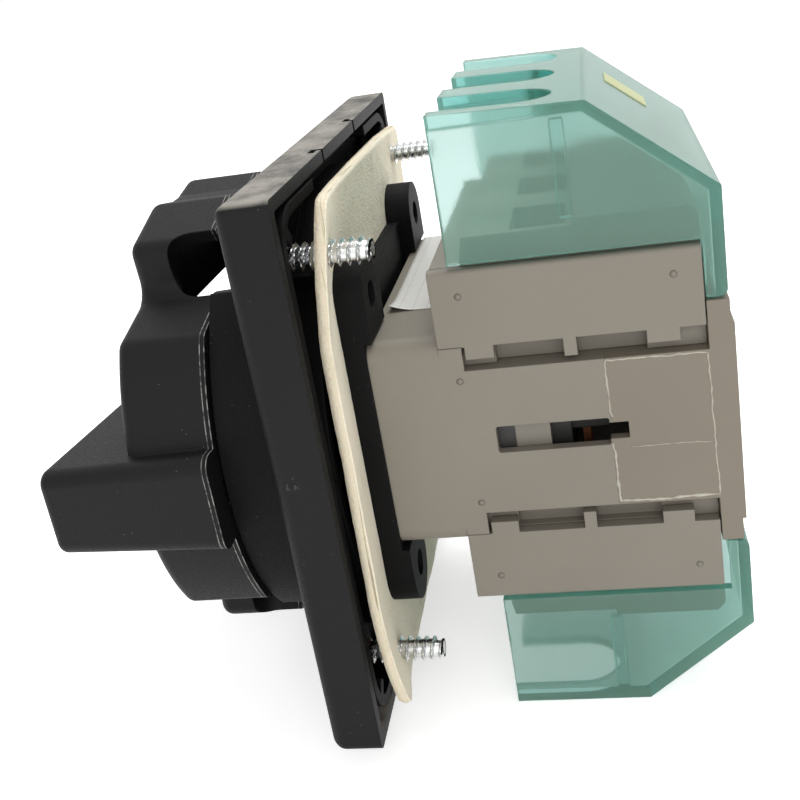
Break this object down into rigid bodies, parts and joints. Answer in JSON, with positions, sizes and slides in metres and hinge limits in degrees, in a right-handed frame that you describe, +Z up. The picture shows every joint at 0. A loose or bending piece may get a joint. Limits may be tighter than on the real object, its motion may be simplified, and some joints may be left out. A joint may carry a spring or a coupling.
{
  "type": "rotary switch disconnector",
  "caption": "Door-mounted rotary main switch: square plate with a lobed padlockable handle, grey switch body behind it and clear sliding covers over its terminals.",
  "frame": {"origin": "on the shaft axis, on the plane of the front plate's rear rim, which seats on the panel", "axes": "+Y along the shaft from the handle to the terminals, +X right seen from the handle, +Z up"},
  "size_m": [0.09, 0.1049, 0.0996],
  "materials": {
    "black_plastic": "fine-grained moulded plastic",
    "grey_plastic": "matt moulded",
    "beige_plastic": "matt moulded",
    "white_plastic": "matt moulded",
    "clear_plastic": "clear turquoise polycarbonate",
    "foam": "soft closed-cell foam",
    "zinc": "bright zinc",
    "steel": "plain",
    "copper": "plain copper",
    "label": "printed film",
    "sticker": "plain yellow film"
  },
  "bodies": {
    "switch": {"masking_frame": "black_plastic", "carrier_plate": "black_plastic", "mounting_frame": "black_plastic", "panel_gasket": "foam", "panel_screws": "zinc", "frame_screws": "zinc", "click_springs": "steel", "front_housing": "grey_plastic", "rear_housing": "beige_plastic", "rating_label": "label", "upper_terminal_block": "grey_plastic", "upper_contact_strips": "copper", "upper_clamp_cages": "zinc", "upper_clamp_screws": "zinc", "upper_right_side_plate": "grey_plastic", "upper_left_side_plate": "grey_plastic", "lower_terminal_block": "grey_plastic", "lower_contact_strips": "copper", "lower_clamp_cages": "zinc", "lower_clamp_screws": "zinc", "lower_right_side_plate": "grey_plastic", "lower_left_side_plate": "grey_plastic"},
    "handle": {"knob": "black_plastic", "retaining_ring": "steel", "drive_shaft": "steel", "cam_rotor": "white_plastic"},
    "carriage": {"contact_carriage": "black_plastic", "position_flags": "white_plastic", "contact_bridges": "copper", "contact_springs": "steel"},
    "upper_cover": {"upper_cover": "clear_plastic", "cover_sticker": "sticker"},
    "lower_cover": {"lower_cover": "clear_plastic"}
  },
  "joints": [
    {"name": "knob_turn", "type": "hinge", "parent": "switch", "child": "handle", "pos_m": [0, 0, 0], "axis": [0, 1, 0], "range_deg": [0, 90]},
    {"name": "contact_slide", "type": "slide", "parent": "switch", "child": "carriage", "axis": [0, 1, 0], "range_m": [-0.00002, 0.00602]},
    {"name": "upper_cover_slide", "type": "slide", "parent": "switch", "child": "upper_cover", "axis": [0, 1, 0], "range_m": [0, 0.04]},
    {"name": "lower_cover_slide", "type": "slide", "parent": "switch", "child": "lower_cover", "axis": [0, 1, 0], "range_m": [0, 0.04]}
  ],
  "couplings": [
    {"joint": "contact_slide", "follows": "knob_turn", "m_per_rad": 0.0038197}
  ]
}
